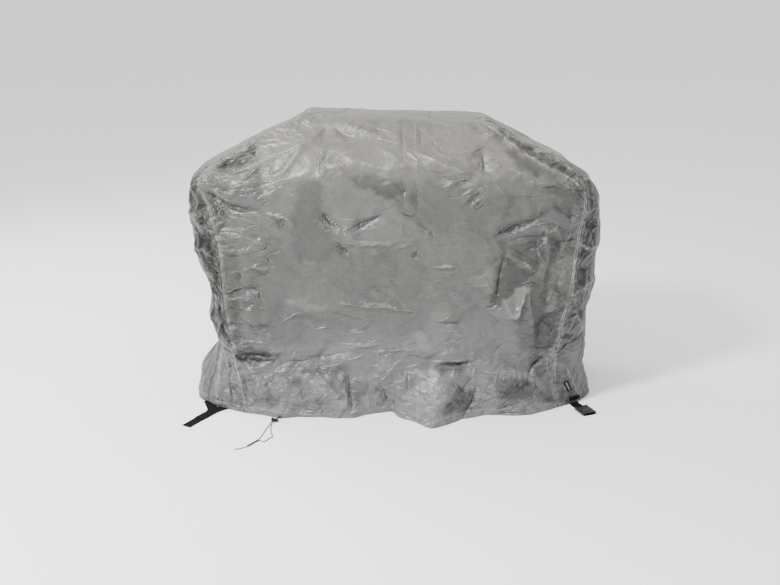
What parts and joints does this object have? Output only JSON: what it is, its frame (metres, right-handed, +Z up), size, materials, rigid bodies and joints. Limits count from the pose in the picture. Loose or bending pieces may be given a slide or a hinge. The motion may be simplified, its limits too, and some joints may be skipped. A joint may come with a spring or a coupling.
{
  "type": "barbecue cover",
  "caption": "Fitted silver-grey barbecue cover, hollow and open below, with a flared hem, corner straps, buckle and drawcord lock.",
  "frame": {"origin": "on the inner face of the top, over the middle of the grill, where the grill's hood holds the cover up", "axes": "+X to the right of someone facing the front, the front faces -Y, +Z up; the floor that the hem touches is 1.05 m below the origin"},
  "size_m": [1.5223, 0.9294, 1.0615],
  "materials": {
    "silver_cloth": "coated silver-grey polyester, crumpled, satin sheen",
    "label_cloth": "plain black woven label",
    "black_webbing": "black woven polyester webbing",
    "black_plastic": "moulded black acetal, fine texture",
    "black_cord": "black braided cord"
  },
  "bodies": {
    "root": {"front_top_back_panel": "silver_cloth", "left_end_panel": "silver_cloth", "right_end_panel": "silver_cloth", "label": "label_cloth", "right_tab": "black_webbing", "left_strap_long": "black_webbing", "left_strap_short": "black_webbing", "right_strap": "black_webbing", "right_buckle": "black_plastic", "cord_lock": "black_plastic", "cord_long_end": "black_cord", "cord_short_end": "black_cord"}
  },
  "joints": []
}
